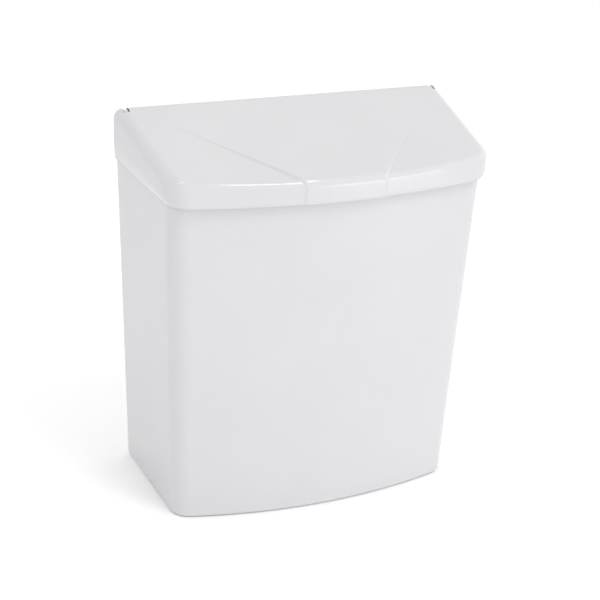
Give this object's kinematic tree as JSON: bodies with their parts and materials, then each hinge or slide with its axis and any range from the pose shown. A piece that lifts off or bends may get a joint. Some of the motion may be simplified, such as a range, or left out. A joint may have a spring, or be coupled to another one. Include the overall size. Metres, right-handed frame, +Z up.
{
  "type": "wall-mounted waste bin",
  "caption": "Small wall-mounted moulded waste bin with a sloping hinged lid, flared grip panel, bowed front and lift-out liner holding a bag.",
  "frame": {"origin": "middle of the bounding box on the underside of the casing", "axes": "+Z up, +Y towards the wall that the back is fixed to, +X to the right as seen from the room"},
  "size_m": [0.273, 0.137, 0.303],
  "materials": {
    "white_abs": "glossy injection-moulded ABS, neutral white",
    "liner_polypropylene": "satin moulded polypropylene, light grey",
    "bag_film": "thin crinkled polythene film",
    "steel_pin": "drawn stainless steel bar",
    "bumper_rubber": "matt black rubber",
    "foam_tape": "white closed-cell foam tape"
  },
  "bodies": {
    "casing": {"body_shell": "white_abs", "hinge_pin_left": "steel_pin", "hinge_pin_right": "steel_pin", "lid_bumper_left": "bumper_rubber", "lid_bumper_right": "bumper_rubber", "tape_pad_left": "foam_tape", "tape_pad_right": "foam_tape"},
    "lid": {"lid_shell": "white_abs"},
    "liner": {"inner_liner": "liner_polypropylene", "waste_bag": "bag_film", "bag_frame": "liner_polypropylene"}
  },
  "joints": [
    {"name": "lid_hinge", "type": "hinge", "parent": "casing", "child": "lid", "pos_m": [0, 0.0575, 0.297], "axis": [-1, 0, 0], "range_deg": [0, 100]},
    {"name": "liner_lift", "type": "slide", "parent": "casing", "child": "liner", "axis": [0, 0, 1], "range_m": [0, 0.016]}
  ]
}
